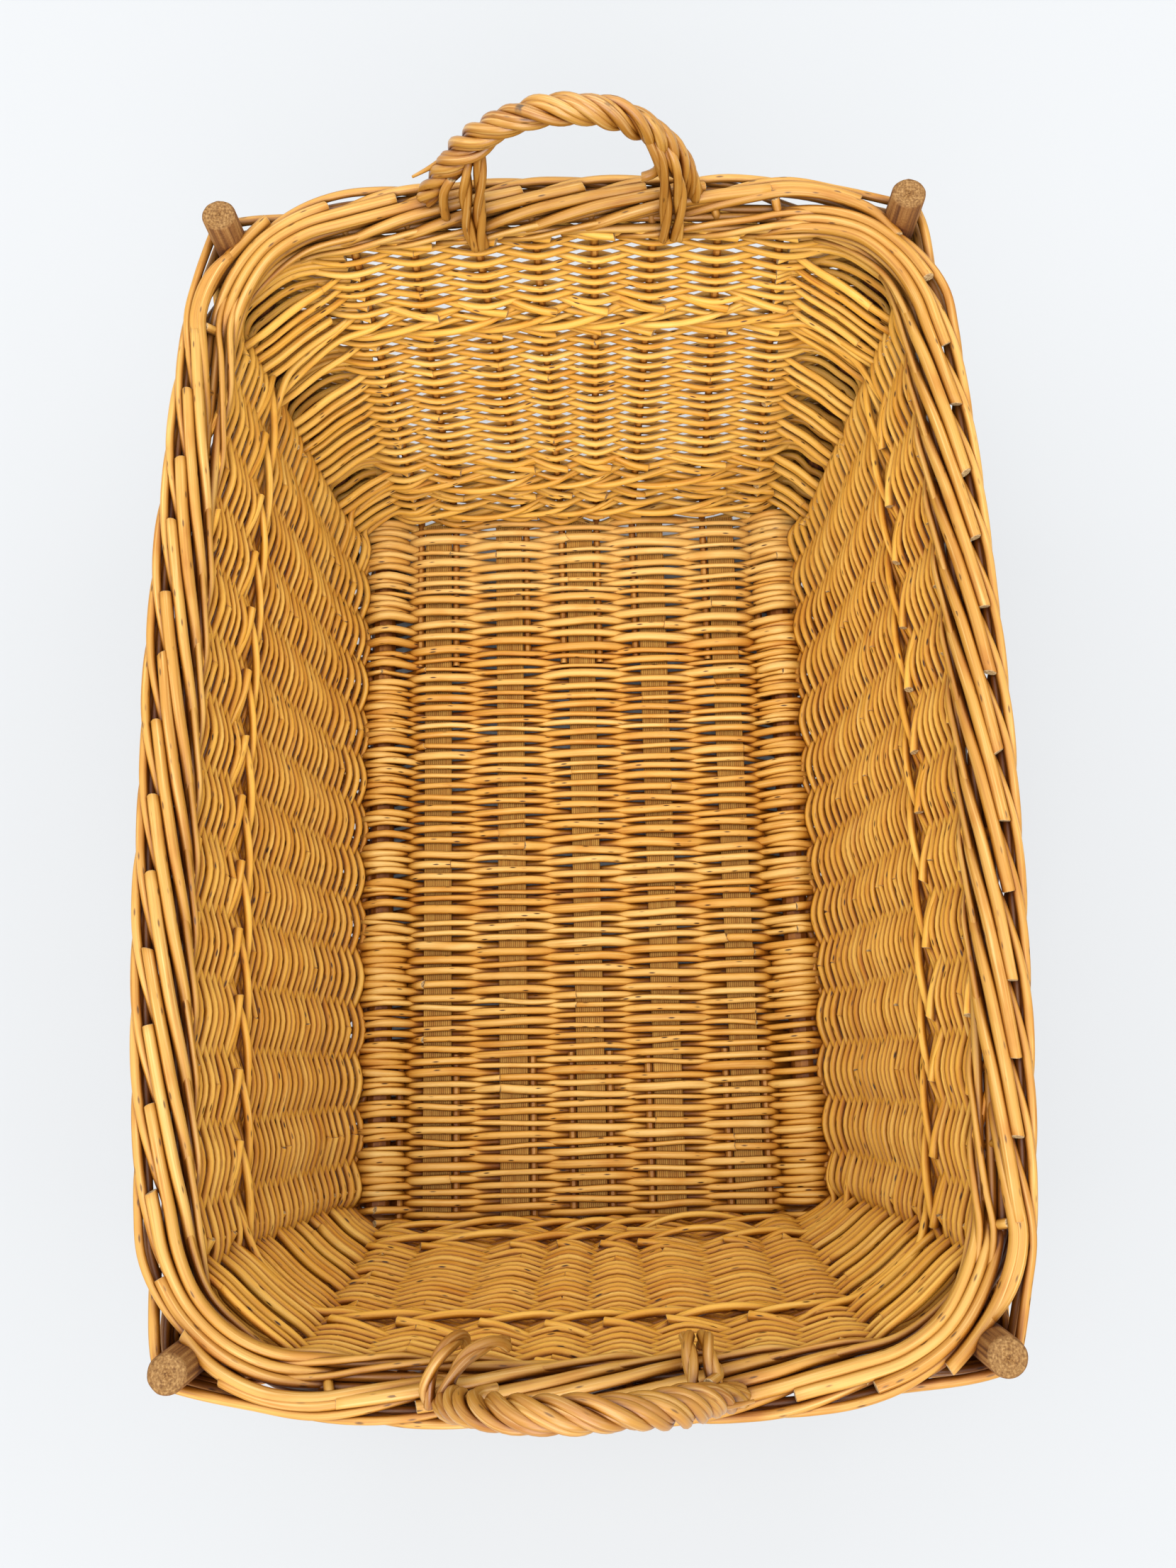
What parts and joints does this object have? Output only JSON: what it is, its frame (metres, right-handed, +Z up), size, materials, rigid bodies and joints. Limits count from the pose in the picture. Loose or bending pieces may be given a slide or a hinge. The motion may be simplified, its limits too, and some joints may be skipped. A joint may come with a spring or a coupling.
{
  "type": "wicker laundry basket",
  "caption": "Large open oblong willow basket with flared woven sides, a thick plaited border, round corner posts, a slatted woven base and a roped hand bow over each end.",
  "frame": {"origin": "on the floor under the middle of the base", "axes": "+Z up, +Y along the basket towards the far handle, +X across to the right"},
  "size_m": [0.5186, 0.768, 0.4365],
  "materials": {
    "woven_willow": "peeled willow rods, satin varnish, golden with paler and browner rods",
    "border_willow": "peeled willow rods with cut butts, satin varnish",
    "handle_willow": "twisted peeled willow, glossy with age",
    "stake_willow": "peeled willow, satin",
    "slat_wood": "dark grooved softwood, matt",
    "post_wood": "weathered round dowel, rough sawn ends"
  },
  "bodies": {
    "root": {"corner_post_far_right": "post_wood", "corner_post_far_left": "post_wood", "corner_post_near_left": "post_wood", "corner_post_near_right": "post_wood", "base_slat_1": "slat_wood", "base_slat_2": "slat_wood", "base_slat_3": "slat_wood", "base_slat_4": "slat_wood", "base_slat_5": "slat_wood", "base_edge_stick_left": "stake_willow", "base_edge_stick_right": "stake_willow", "stake_right_01": "stake_willow", "stake_right_02": "stake_willow", "stake_right_03": "stake_willow", "stake_right_04": "stake_willow", "stake_right_05": "stake_willow", "stake_right_06": "stake_willow", "stake_right_07": "stake_willow", "stake_right_08": "stake_willow", "stake_right_09": "stake_willow", "stake_right_10": "stake_willow", "stake_right_11": "stake_willow", "stake_right_12": "stake_willow", "stake_right_13": "stake_willow", "stake_right_14": "stake_willow", "stake_left_01": "stake_willow", "stake_left_02": "stake_willow", "stake_left_03": "stake_willow", "stake_left_04": "stake_willow", "stake_left_05": "stake_willow", "stake_left_06": "stake_willow", "stake_left_07": "stake_willow", "stake_left_08": "stake_willow", "stake_left_09": "stake_willow", "stake_left_10": "stake_willow", "stake_left_11": "stake_willow", "stake_left_12": "stake_willow", "stake_left_13": "stake_willow", "stake_left_14": "stake_willow", "stake_far_01": "stake_willow", "stake_far_02": "stake_willow", "stake_far_03": "stake_willow", "stake_far_04": "stake_willow", "stake_far_05": "stake_willow", "stake_far_06": "stake_willow", "stake_far_07": "stake_willow", "stake_far_08": "stake_willow", "stake_near_01": "stake_willow", "stake_near_02": "stake_willow", "stake_near_03": "stake_willow", "stake_near_04": "stake_willow", "stake_near_05": "stake_willow", "stake_near_06": "stake_willow", "stake_near_07": "stake_willow", "stake_near_08": "stake_willow", "base_weave": "woven_willow", "side_weave": "woven_willow", "border": "border_willow", "handle_far": "handle_willow", "handle_near": "handle_willow"}
  },
  "joints": []
}
